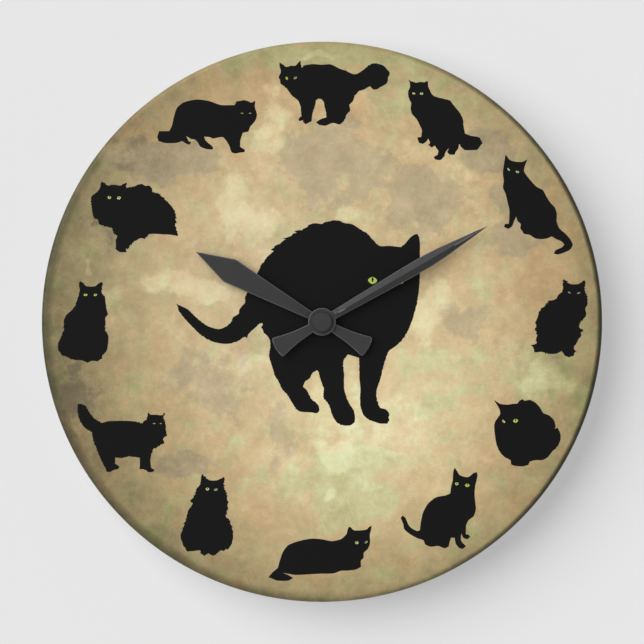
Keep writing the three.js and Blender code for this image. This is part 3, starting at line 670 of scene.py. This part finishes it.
cat_outlines = {
    12: [(-20.6, 126.2), (-19.3, 125.6), (-18.4, 124.9), (-17.2, 124.1), (-15, 124.7), (-12.8, 124.7),
         (-11.8, 125.7), (-10.4, 127.3), (-10.1, 125.2), (-9.6, 123.7), (-9, 124.6), (-7.8, 125),
         (-4.5, 125.5), (0, 125.2), (4.5, 125.4), (9, 123.2), (12, 122.3), (15.5, 120.6), (17.5, 120.8),
         (20, 122.4), (22.8, 124.7), (24.5, 125.6), (26.6, 125.9), (28.8, 125.3), (30.6, 124.6),
         (31.4, 123.6), (32.5, 122.4), (33.2, 121.2), (33, 119.9), (32.3, 118.9), (32.2, 117),
         (31.3, 115.6), (29.8, 114.8), (27.8, 113.6), (25.6, 113), (24.9, 113.4), (23.7, 114.7),
         (22.3, 114.1), (20.3, 112.9), (18.3, 112.4), (16, 109.8), (15.2, 107.3), (13.5, 105.7),
         (13.9, 102.8), (12.3, 101), (11, 97.9), (8.8, 96), (5.2, 96.8), (2, 95.5), (-1.4, 96),
         (-2.7, 97.2), (-0.5, 98.6), (2.3, 99.5), (2.2, 102), (1.4, 105), (1.1, 106.9), (0.1, 108.3),
         (-1.4, 108.6), (-2.7, 108), (-3.2, 105.3), (-4.4, 101.5), (-4.9, 97.6), (-7.8, 96.2),
         (-9.1, 97.3), (-9, 98.1), (-10.8, 97.7), (-11.5, 98.7), (-9.8, 100.1), (-10.3, 105),
         (-11.5, 107.8), (-14.5, 110.2), (-16.7, 113.3), (-18.5, 114.9), (-19.8, 115.8), (-20.3, 117.8),
         (-20.9, 119.1), (-20.5, 120.2), (-19.9, 121.3), (-20, 122.8), (-20.3, 124)],
    1: [(42.4, 118), (43.5, 117.2), (45, 116.8), (46.2, 116.4), (48, 116.8), (50.4, 116.7),
        (51.2, 117.2), (51.9, 117), (52.1, 114.5), (52.9, 112.7), (53.6, 111.2), (55, 109.9),
        (60, 108.5), (62.8, 107.7), (64, 106), (67.3, 102), (69, 98.6), (69.3, 95.5), (70, 91.6),
        (73, 90.5), (77.2, 89.6), (78.6, 87), (77, 85), (76, 83.6), (69.8, 83.6), (68, 85.2),
        (67.2, 86.7), (66.6, 84), (65.3, 82.4), (64.9, 81.3), (62.4, 81.4), (61.3, 82.8), (62.3, 84.6),
        (60.7, 82.9), (59.5, 80), (57.8, 78.7), (55.3, 79.2), (54.7, 80.2), (56.7, 81.3), (57, 83.2),
        (55.9, 84.6), (55.4, 85.7), (53.7, 84.8), (52.1, 85.9), (53, 87.2), (52.1, 89.2), (51, 87.6),
        (49.4, 86.6), (47.5, 87.1), (46.7, 89.7), (48.6, 89.9), (49, 93), (48, 95.5), (46.5, 98.5),
        (44, 101.5), (43.5, 104), (43.7, 106.7), (42.8, 108.4), (42.3, 110.3), (42.4, 112.5),
        (43.1, 114), (43.1, 116.4)],
    2: [(89.8, 81.3), (90.7, 80.2), (91.7, 78.8), (94, 78), (98, 77.8), (99.3, 78.4), (100.4, 78.9),
        (99.5, 76.6), (98.9, 74.6), (98.9, 73), (101, 70), (105, 65.6), (108, 64), (109.8, 60.8),
        (111.6, 58), (114, 55.3), (114.8, 52.5), (114.8, 48.5), (116, 45.5), (119, 42.7), (121.5, 39.8),
        (122.6, 37.3), (121.5, 35.2), (118.5, 33.6), (115, 32.6), (113.3, 33.1), (114.2, 34.6),
        (117.5, 36.2), (118.5, 37.5), (117.3, 38.9), (114.5, 40.1), (112.3, 41.4), (110, 40.4),
        (107, 40.1), (104, 40.6), (101.5, 42.2), (98.8, 42.7), (97.8, 44.2), (97, 45.5), (97.2, 47.4),
        (95.6, 49), (95, 51.1), (94, 49), (92.8, 46.2), (91, 45.2), (89.1, 46), (89.4, 47.4),
        (91.4, 47.6), (91.6, 50.5), (91.7, 54), (90.7, 58.5), (89.8, 62.3), (88.6, 65), (88.9, 68.5),
        (88.5, 72.5), (89.1, 77)],
    3: [(118, 20.2), (118.5, 20.6), (119.4, 19.8), (120.4, 18.8), (121.4, 18.2), (125.3, 18.2),
        (126.5, 18.8), (128.1, 20.1), (128.6, 19.6), (128.5, 16.2), (128.8, 14.4), (129.6, 12.6),
        (129.9, 8.8), (128.7, 5.8), (129.2, 3.3), (127.8, 0.8), (125.9, -1), (125.8, -3), (128.1, -4.9),
        (126.5, -5.3), (126.8, -6.9), (125.5, -8.7), (124.5, -10.7), (123.1, -12.6), (124.3, -14.8),
        (123.2, -16.6), (120.8, -17.6), (118.3, -16.2), (117.3, -14.5), (114.5, -15.8), (110, -15.8),
        (108, -15), (103.9, -15.2), (103.5, -13.2), (102.2, -11.6), (105, -10.9), (104.6, -8),
        (104.9, -5.5), (104.1, -4.5), (104.8, -1.8), (104.2, -0.6), (105.5, 2), (106.5, 5.3),
        (108.5, 7.3), (111, 9.9), (114.4, 10.9), (115.8, 13), (117.4, 14.5), (117.8, 16),
        (117.8, 18.5)],
    4: [(84.2, -38.4), (85.6, -39.3), (87.2, -40.3), (91, -40.7), (93.5, -40.3), (95.6, -40.2),
        (96.5, -38.9), (98, -38), (99, -38.8), (101.5, -38.4), (104.5, -39.8), (106.7, -42.3),
        (108.2, -44.8), (111, -45.9), (113.5, -48.5), (114.2, -51), (113.9, -52.5), (115.2, -52),
        (116.5, -54.6), (116.6, -57.8), (115.2, -61), (112.3, -64), (110.3, -66.4), (108, -67.7),
        (104.5, -67.8), (101.6, -68.4), (101, -70.1), (98.5, -70.8), (93.6, -70.4), (92.5, -69.8),
        (92.3, -67.8), (89.5, -66.4), (87, -63.8), (85.5, -60.5), (84.7, -56), (84.3, -50.2),
        (84.9, -48.7), (86.2, -46.8), (87.2, -45.2), (86.8, -43), (85.9, -41.2)],
    5: [(65, -71.5), (66.2, -73.2), (67.3, -75), (68.6, -75.6), (71.4, -76.1), (72.8, -75.3),
        (74.2, -74.1), (75.8, -73.6), (76.1, -75.2), (75.7, -77.5), (75, -80.4), (74.7, -84.5),
        (75, -88.2), (75.3, -91.5), (74.2, -95.2), (71.8, -97.1), (70.6, -99.5), (70.4, -104),
        (71.6, -104.1), (72.5, -105.2), (71.2, -106.4), (69.3, -105.8), (68.2, -103.5), (68, -106.8),
        (68.9, -108.2), (70.5, -109.8), (69, -111.1), (67.2, -110.7), (65.4, -108.3), (65, -105.7),
        (63.2, -105.6), (62.5, -107.8), (62, -110), (60.2, -110.8), (57, -109.7), (53, -110),
        (50.5, -108.8), (49.8, -107), (47, -106), (43, -103.8), (40.4, -101.5), (39.8, -98.8),
        (38.6, -96), (39.5, -94.9), (40.7, -95.7), (41.9, -98.2), (43, -100.2), (46.8, -102.4),
        (48, -102), (48.4, -98.5), (49.5, -93.5), (52, -89), (56, -85.9), (60.5, -85), (62.8, -84.1),
        (63.2, -81), (64, -77.8), (64.4, -73)],
    6: [(13.2, -100.6), (13.8, -100.3), (14.5, -100.8), (15.5, -101.9), (20, -102), (22.2, -101.5),
        (23.2, -100.4), (24.4, -99.8), (24.1, -102), (23.6, -104), (23.6, -108.5), (22.5, -111.2),
        (20.6, -113), (20.4, -115.5), (19.2, -116.8), (19.2, -119.9), (17, -121.1), (13, -121.7),
        (9.5, -121.8), (6, -123), (0, -123.2), (-6, -123.5), (-13, -123.8), (-18.9, -122.8),
        (-16, -124), (-13.9, -125.3), (-16, -126.5), (-22, -126.5), (-25.9, -124.9), (-24, -122.6),
        (-21.3, -120.2), (-20.6, -117.5), (-18.8, -112.5), (-16.5, -109.5), (-12.5, -107.7),
        (-5, -106.1), (0, -106.4), (5, -107.3), (9.5, -106.3), (12.2, -103.8), (12.7, -101.9)],
    7: [(-58.3, -74.7), (-57, -75.6), (-55.9, -76.7), (-54.9, -77.5), (-50.8, -77.6), (-49.2, -76.8),
        (-47.6, -76.1), (-47.2, -77.2), (-47.7, -79), (-47.1, -82.3), (-46, -85), (-46, -87.2),
        (-45.5, -88.4), (-46, -90.2), (-45.6, -91.5), (-46.3, -92.6), (-46, -94.2), (-46.9, -94.9),
        (-45, -97.2), (-43.5, -101), (-43.3, -106.5), (-44.3, -109.6), (-46, -111.3), (-48.2, -112),
        (-49.9, -112.2), (-51.2, -113.6), (-53, -114.3), (-55.2, -113.3), (-57.3, -114.5),
        (-59, -113.4), (-59.4, -111.8), (-65, -112.2), (-67.2, -110), (-67.9, -108), (-68.6, -106.5),
        (-69, -104.9), (-68, -102), (-67.2, -98.8), (-66, -96), (-65, -92), (-63.5, -90.2),
        (-62.8, -88.6), (-64.4, -88.2), (-63, -86.3), (-61.7, -84.5), (-61, -81.5), (-59.5, -80),
        (-58.9, -78), (-58.8, -75.8)],
    8: [(-119.1, -40.8), (-118, -40.3), (-115.5, -41), (-113.5, -44.3), (-111, -47.3), (-107, -49.5),
        (-104, -48.8), (-96, -48.6), (-91, -48.9), (-87.5, -49.8), (-85.2, -47.5), (-84.9, -46.2),
        (-84.7, -44.5), (-83.7, -45.5), (-81, -45.6), (-77.8, -45.8), (-76.5, -44.7), (-76.9, -47.2),
        (-76, -51), (-75.9, -53.5), (-75.4, -55.9), (-76.9, -56.6), (-77.3, -58), (-77, -59.7),
        (-79.5, -61), (-82.3, -63), (-83.5, -67), (-83.2, -71.3), (-81.6, -72.6), (-82.5, -73.6),
        (-85, -73.5), (-86.5, -72.3), (-88.9, -72.1), (-88.7, -69.5), (-88.7, -66.6), (-94, -66),
        (-98, -66.8), (-100.7, -66.5), (-100.8, -69.5), (-98.6, -71), (-99.5, -72.2), (-101.8, -72.6),
        (-103, -73.6), (-104.8, -73.5), (-106.2, -70.5), (-107.8, -67.3), (-109.5, -63), (-111, -59.5),
        (-111.8, -56.5), (-111.9, -54.3), (-114.5, -52.8), (-116.8, -50.5), (-118.7, -46.5)],
    9: [(-118.1, 19.3), (-117.6, 19.6), (-116.3, 18.7), (-114.9, 17.2), (-110.3, 17.2), (-108.9, 18.4),
        (-107.3, 19.2), (-106.9, 18.6), (-107.1, 16.5), (-107.3, 14.4), (-106.8, 13.2), (-105.9, 12.2),
        (-105.3, 8.5), (-104.8, 5.2), (-104.2, 3.4), (-105.3, 2.2), (-105.5, -1), (-105.4, -4.7),
        (-104.2, -6.5), (-104.1, -10), (-104.8, -14.2), (-106.5, -16.2), (-107.5, -18.6),
        (-109.2, -19.5), (-112, -19.3), (-114.2, -20.2), (-116, -19.4), (-117.5, -19), (-121.3, -18.8),
        (-124.5, -17.4), (-126.8, -16.2), (-128.5, -14), (-128.5, -10.5), (-127.2, -7.8), (-126, -4.5),
        (-125.8, 0), (-124.8, 2.8), (-122, 5.4), (-120.3, 7.6), (-119.4, 10.5), (-118.5, 12.8),
        (-118.1, 15), (-118.4, 17.6)],
    10: [(-107.7, 67.8), (-107, 68.2), (-105.8, 67.5), (-104.3, 66.2), (-102.3, 66.6), (-100, 66.5),
         (-98.2, 66.2), (-96.8, 67), (-95.2, 67.8), (-95.3, 65), (-91.5, 65.8), (-90, 66.4),
         (-87.5, 67), (-86, 66.1), (-84.3, 66.2), (-82.8, 65), (-82.4, 63), (-79.5, 62.3), (-77, 60.3),
         (-74.5, 57.5), (-72, 54.5), (-71, 51), (-71, 46), (-70, 41.6), (-73.5, 42.2), (-77, 42.4),
         (-84.5, 42.3), (-86.3, 40.1), (-88, 40.6), (-91, 39.3), (-93.5, 36.8), (-95.4, 35),
         (-95.6, 33.7), (-98.6, 33.8), (-100.6, 35.3), (-100.4, 37.5), (-100.5, 39.2), (-99.8, 41.9),
         (-101.3, 42.5), (-102.3, 45.5), (-104, 45.8), (-107, 46.8), (-108.5, 47.4), (-109.3, 49.8),
         (-111, 50.1), (-111.9, 53), (-112.5, 57), (-112.3, 60.8), (-110, 62.8), (-108.4, 64.6),
         (-107.9, 66.5)],
    11: [(-41.5, 107.4), (-40, 107.5), (-37.8, 107.9), (-35.8, 107.4), (-34.3, 106.7), (-32.4, 107.6),
         (-32.6, 104.8), (-31.6, 101.2), (-31.7, 99.5), (-33, 97), (-34.8, 95), (-35.7, 92.6),
         (-38.5, 92), (-39.6, 88.5), (-39.8, 85.2), (-37.5, 83.8), (-37.5, 82.6), (-40, 82.3),
         (-42, 81.9), (-43.8, 82.5), (-45, 85.5), (-46.2, 87.7), (-48, 89.8), (-50.5, 89.7),
         (-53, 89.2), (-54.7, 89.9), (-57.4, 90.1), (-56.5, 88), (-54, 86), (-53, 84.8), (-53.2, 83.8),
         (-56, 84), (-59.2, 85.3), (-60.5, 87.3), (-61.7, 88.6), (-63.8, 89), (-66.1, 90.4), (-65, 88),
         (-63.6, 87.2), (-64.6, 86.2), (-66.3, 86.8), (-68, 88), (-70.7, 87.1), (-77, 87.1),
         (-79.5, 87.9), (-80.2, 89.8), (-79.3, 92.8), (-74.3, 92.8), (-73.2, 95), (-72, 100),
         (-70.5, 104.2), (-67.5, 106.7), (-61, 108.2), (-55, 107.5), (-49, 105.5), (-42.4, 105.5)],
    "middle": [(46.3, 42.7), (47.1, 42.1), (47.7, 40.8), (48, 38), (47.9, 28), (48, 23), (47.4, 14),
               (46.4, 8), (44.4, 1), (42, -5), (39.5, -9), (36, -12.3), (33, -14.4), (31, -19),
               (30, -23), (28.6, -28.5), (27, -33), (26.7, -37), (27.4, -39.5), (28.6, -42.2),
               (31, -42.9), (32.5, -44.2), (33.1, -45.5), (32.7, -46.8), (33, -48.4), (32.1, -50),
               (28.5, -49.9), (25.5, -49), (23, -48), (20.5, -45.8), (19.4, -43.2), (18.9, -41),
               (18.8, -37), (19, -33), (18.5, -28), (18.3, -17.9), (15.5, -17), (12.8, -16.2),
               (10.7, -19.2), (11, -26), (11.1, -33.5), (12.6, -38.2), (14.2, -41.3), (15.1, -42.4),
               (16, -44.5), (16.3, -46.8), (16.1, -49.3), (14.9, -50.4), (12.3, -51), (9.3, -50.5),
               (7.2, -49.1), (5.9, -47.2), (4.9, -44.8), (4, -41.8), (2.5, -39.2), (1, -37.8),
               (0.9, -35), (1.1, -33.1), (0.2, -30.5), (-0.8, -27.5), (-1.6, -24.7), (-2.4, -23.9),
               (-4.5, -25.3), (-6, -28), (-8, -29.3), (-9.1, -32), (-7.3, -33.6), (-6, -36), (-5, -38),
               (-3, -39.5), (-1.5, -41.2), (-1.2, -43.8), (-2.2, -44.8), (-5, -44.5), (-11, -43.9),
               (-12.4, -42.8), (-15, -38.7), (-17, -35.5), (-19, -33.5), (-21.3, -28.9), (-23, -26.2),
               (-23.4, -24.5), (-24.4, -21.3), (-25.4, -18), (-25.6, -16), (-25.1, -13.5), (-25.3, -9),
               (-26.7, -6.9), (-28.3, -5.5), (-28.7, -4), (-29.5, -3), (-28.6, -1.8), (-28.9, -0.9),
               (-30, -1), (-32, -2.9), (-34.8, -5.3), (-35.9, -6.6), (-36.3, -8.3), (-37.1, -7.7),
               (-38.3, -8), (-40.5, -9.5), (-44, -10.8), (-48, -11), (-53, -10), (-58.5, -7),
               (-63, -2.8), (-68, 2.7), (-69.8, 5.4), (-70.8, 8.5), (-65.5, 5.9), (-61, 1.6),
               (-55.5, -2.4), (-50, -3.8), (-46.5, -2.5), (-43.9, 0), (-43.2, 2), (-41.8, 2.8),
               (-40.4, 3.8), (-40.2, 5.5), (-38.8, 7.4), (-37.3, 9.3), (-37.4, 11.2), (-36.4, 13.8),
               (-35.2, 16.5), (-33, 20.3), (-31.2, 23.9), (-30.2, 25.6), (-29.6, 27.5), (-28, 29.2),
               (-26.9, 31), (-24.6, 33.1), (-23.3, 34.2), (-24.8, 35), (-23.4, 35.8), (-22.6, 36.9),
               (-20.2, 37.9), (-19, 39), (-17.3, 40), (-18.9, 40.4), (-16.5, 41), (-14.8, 41.7),
               (-13.9, 42.8), (-12.1, 43.1), (-13.3, 43.9), (-11.6, 44.4), (-9.6, 44.5), (-8.6, 45.4),
               (-7.3, 45.7), (-6.6, 46.6), (-4.5, 47.7), (-2.6, 47.8), (0, 47.5), (2, 48.5),
               (3.5, 48.7), (7, 49.4), (11, 48), (15, 47.3), (19.3, 44.6), (22.5, 42.6), (25, 39.8),
               (27.2, 37.5), (28.7, 36.7), (33, 36.8), (36, 36.5), (38.7, 36.3), (40.2, 37.4),
               (41.8, 39.1), (43.4, 41), (45, 42.1)],
}
# How far the tufts of fur stand out of each outline, in mm.
tuft_height = {12: 0.35, 1: 0.2, 2: 0.05, 3: 0.8, 4: 0.2, 5: 0.08, 6: 0.06, 7: 0.8, 8: 0.7, 9: 0.5,
               10: 0.85, 11: 0.15, "middle": 0.35}

# Each eye is the place of its centre in mm, its half length and half height, its tilt and its ink.
cat_eyes = {
    12: [(-17, 118.6, 0.75, 0.55, 110, "lime"), (-12.8, 118.8, 0.85, 0.62, 25, "dim")],
    1: [(45, 111.2, 0.8, 0.5, -15, "pale"), (48.8, 111.1, 0.85, 0.58, 5, "pale")],
    2: [(91.3, 74.1, 0.85, 0.42, -50, "pale"), (95.6, 72.9, 0.85, 0.5, -15, "pale")],
    3: [(120.9, 14, 0.75, 0.35, -30, "dim"), (125.5, 13.8, 0.8, 0.36, 20, "dim")],
    4: [(88.9, -48.9, 0.95, 0.5, -45, "pale"), (94.7, -48.6, 1.15, 0.95, 10, "lime")],
    5: [(66, -79.3, 0.85, 0.8, 0, "lime"), (71.1, -80.1, 1.1, 0.8, 0, "lime")],
    6: [(17.2, -108.1, 0.82, 0.75, 0, "pale"), (21.8, -107.8, 0.85, 0.5, 35, "dim")],
    7: [(-55.7, -81.9, 0.85, 0.75, 0, "pale"), (-51.6, -82.2, 0.95, 0.6, 20, "dim")],
    8: [(-81.7, -49.9, 0.65, 0.32, 0, "dim"), (-78.5, -49.9, 0.5, 0.3, 0, "dim")],
    9: [(-115.2, 12.9, 0.95, 0.6, 0, "lime"), (-110.4, 12.9, 0.8, 0.6, 10, "lime")],
    10: [(-103.6, 60.4, 0.85, 0.78, -10, "pale"), (-98.9, 60.2, 0.95, 0.8, 15, "pale")],
    11: [(-38.8, 101.5, 0.65, 0.3, -10, "dim"), (-34.9, 101.5, 0.6, 0.3, 10, "dim")],
    "middle": [(24.9, 19.9, 2.2, 1.75, -4, "lime"), (38.7, 19.9, 2.1, 1.7, 14, "lime")],
}
eye_inks = {}
for tone, colour, light_colour in (("lime", "9cb840", "c4d862"), ("pale", "a3b265", "cfda92"),
                                   ("dim", "7c895c", "a3ae7c")):
    eye_ink, surface, place = new_finish(f"{tone}_eye_ink")
    fleck = place.noise(0.5, 2)
    dress(surface, Base_Color=fleck.mix(colour, light_colour),
          Roughness=fleck * 0.15 + 0.4, Specular_IOR_Level=0.25)
    eye_inks[tone] = eye_ink
ink_height = 0.06
iris_height = 0.03
pupil_height = 0.05
ink_top = face + ink_height


def almond(x, z, long, high, tilt, steps=20):
    """The outline of an eye: an oval with its two ends drawn to points."""
    turn = radians(tilt)
    line = []
    for k in range(steps):
        a = 2 * pi * k / steps
        across = long * cos(a)
        up = high * sin(a) * (1 - 0.25 * abs(cos(a)))
        line.append((x + across * cos(turn) - up * sin(turn), z + across * sin(turn) + up * cos(turn)))
    return line


print_scale = 0.9975
print_shift = (-0.22, 0.27)


def printed(points):
    """Where points of the artwork fall on the dial: the print is a little small and off centre."""
    return [(x * print_scale + print_shift[0], z * print_scale + print_shift[1]) for x, z in points]


for hour, points in cat_outlines.items():
    outline = smooth_outline(printed(points), tuft_height[hour])
    cat = flat_piece(f"cat_{hour}", [outline], face, ink_top, ink)
    parts = [cat]
    for x, z, long, high, tilt, tone in cat_eyes[hour]:
        iris = printed(almond(x, z, long, high, tilt))
        parts.append(flat_piece("iris", [iris], ink_top, ink_top + iris_height, eye_inks[tone]))
        pupil = printed(almond(x, z + high * 0.25, high * 0.68, high * 0.3, tilt + 90))
        parts.append(flat_piece("pupil", [pupil], ink_top + iris_height, ink_top + pupil_height, ink))
    bpy.ops.object.select_all(action="DESELECT")
    for part in parts:
        part.select_set(True)
    bpy.context.view_layer.objects.active = cat
    bpy.ops.object.join()
    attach(cat, "clock_body")


# -------- bushing, washer and nut
# A threaded brass bushing, turned in one piece, comes through the dial from the movement. A brass
# washer and a hexagon nut clamp it.
threaded_brass, surface, place = new_finish("threaded_brass")
level = place.axis(1)
thread_pitch = 0.75
thread = level.wave(thread_pitch)
grime = place.noise(0.8, 3)
# The colour is darker in the roots of the thread and lighter on its crests, painted shade and
# highlight, mixed with a random grime tone.
dress(surface, Base_Color=(thread * 0.5 + grime * 0.5).mix("80622c", "cfab5e"),
      Metallic=1.0, Roughness=grime * 0.2 + 0.2, Normal=bump(thread, 0.25))
coat("threaded_bushing", threaded_brass)
coat("dial_washer", brass)
coat("dial_nut", brass)
ease_edges("dial_nut", 0.15)


# -------- hands
# Stamped aluminium, 0.8 mm thick, with a shallow crease pressed along each blade, a flared tail and a
# round boss, all in satin charcoal paint. The hour hand is a press fit on its tube. The bevelled front
# edges are a lighter grey: a painted highlight.
boss = 6.7
hand_thickness = 0.8
highlight_bevel_width = 0.4
boss_steps = 28
bore_sides = 40
tail_edge = [(2.2, -6.3), (2.5, -10), (3.05, -15), (4.05, -20), (5.05, -24), (5.05, -24.8),
             (4.6, -25.3), (3, -25.75), (0, -26.1)]
hour_blade = [(0, 70.2), (5, 55), (5.95, 52), (6.15, 51), (6.05, 49.8), (1.9, 6.45)]
minute_blade = [(0, 93.2), (1, 85), (2.55, 70), (2.9, 66.5), (3.25, 60), (3.3, 56), (3.15, 45),
                (2.9, 35), (2.5, 20), (2.05, 6.4)]
hand_paint, surface, place = new_finish("hand_paint")
orange_peel = place.noise(0.5, 3)
cloud = place.noise(14, 3)
dress(surface, Base_Color=cloud.mix("1d1d1f", "252527"), Metallic=0.0,
      Roughness=cloud * 0.12 + orange_peel * 0.1 + 0.34, Normal=bump(orange_peel, 0.012))
# The bevels on the front edges are coloured a lighter grey than the paint: a painted highlight.
painted_edge_highlight, surface, place = new_finish("painted_edge_highlight")
highlight_mottle = place.noise(1.1, 3)
dress(surface, Base_Color=highlight_mottle.mix("464648", "626264"), Roughness=highlight_mottle * 0.2 + 0.3)


def select_where(piece, wanted):
    """In edit mode, selects the vertices whose place in mm passes a test."""
    bpy.ops.mesh.select_all(action="DESELECT")
    bpy.ops.object.mode_set(mode="OBJECT")
    for vertex in piece.data.vertices:
        vertex.select = wanted(vertex.co / MM)
    bpy.ops.object.mode_set(mode="EDIT")


def hand(name, blade, level, crease, bore, turn):
    """A hand drawn pointing up from its right half, creased, thickened and turned clockwise."""
    start = atan2(blade[-1][1], blade[-1][0])
    end = atan2(tail_edge[0][1], tail_edge[0][0])
    angles = [start + (end - start) * k / boss_steps for k in range(boss_steps + 1)]
    arc = [(boss * cos(a), boss * sin(a)) for a in angles]
    right = blade[:-1] + arc + tail_edge[1:]
    left = [(-x, z) for x, z in reversed(right[1:-1])]
    steps = [2 * pi * k / bore_sides for k in range(bore_sides)]
    around = [(bore * cos(a), bore * sin(a)) for a in steps]
    front = level + hand_thickness
    piece = flat_piece(name, [right + left, around], front, front, hand_paint)
    piece.data.materials.append(painted_edge_highlight)
    edit(piece)
    bpy.ops.mesh.bisect(plane_co=(0, 0, 0), plane_no=(1, 0, 0))
    tip = blade[0][1]
    for station in (7.2, 9.5, blade[-2][1] + 0.01, tip * 0.5, tip * 0.8, tip - 3):
        bpy.ops.mesh.select_all(action="SELECT")
        bpy.ops.mesh.bisect(plane_co=(0, 0, station * MM), plane_no=(0, 0, 1))
    select_where(piece, lambda at: abs(at.x) < 0.01 and 9 < at.z < tip - 0.5)
    bpy.ops.transform.translate(value=(0, -crease * MM, 0))
    bpy.ops.mesh.select_all(action="SELECT")
    bpy.ops.mesh.extrude_region_move(TRANSFORM_OT_translate={"value": (0, hand_thickness * MM, 0)})
    bpy.ops.mesh.select_all(action="SELECT")
    bpy.ops.mesh.normals_make_consistent(inside=False)
    bpy.ops.mesh.select_mode(type="EDGE")
    bpy.ops.mesh.select_all(action="DESELECT")
    bpy.ops.mesh.edges_select_sharp(sharpness=radians(50))
    bpy.ops.object.mode_set(mode="OBJECT")
    for edge in piece.data.edges:
        ends = [piece.data.vertices[end].co.y for end in edge.vertices]
        edge.select = edge.select and max(ends) < 0.02 * MM - front * MM
    bpy.ops.object.mode_set(mode="EDIT")
    # The bevel takes the second material, the painted highlight along the front edges.
    bpy.ops.mesh.bevel(offset=highlight_bevel_width * MM, segments=1, material=1)
    bpy.ops.mesh.select_mode(type="VERT")
    bpy.ops.object.mode_set(mode="OBJECT")
    piece.rotation_euler = (0, radians(turn), 0)
    done(piece, 6)
    return piece


collar = 0.5  # of the hour hand, behind its blade
hour_level = -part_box("hour_hand")[1][1] / MM + collar
hour_hand = hand("stamped_hour_hand", hour_blade, hour_level, crease=0.35, bore=2.6, turn=-61)
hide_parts("hour_hand")
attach(hour_hand, "hour_set")
minute_level = -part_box("minute_hand")[1][1] / MM
minute_hand = hand("stamped_minute_hand", minute_blade, minute_level, crease=0.75, bore=1.7, turn=60)
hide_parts("minute_hand")
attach(minute_hand, "minute_set")


# -------- cap nut
# A round nut turned in aluminium, slightly domed and painted with the hands. It closes the front of
# the arbor and holds the minute hand.
cap_back = -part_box("cap_nut")[1][1] / MM
cap_front = -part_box("cap_nut")[0][1] / MM
cap_radius = 4.9
cap_bore = 2.8
cap_wall = 0.6
cap_profile = [(cap_bore, cap_back), (4.7, cap_back), (cap_radius, cap_back + 0.2)]
cap_profile += [(cap_radius, cap_front - 0.45), (4.45, cap_front), (2.5, cap_front + 0.03)]
cap_profile += [(0.05, cap_front + 0.05), (0.05, cap_front - cap_wall)]
cap_profile += [(cap_bore, cap_front - cap_wall), (cap_bore, cap_back)]
cap = turned("turned_cap", cap_profile, 96)
cap.data.materials.append(hand_paint)
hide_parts("cap_nut")
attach(cap, "minute_set")
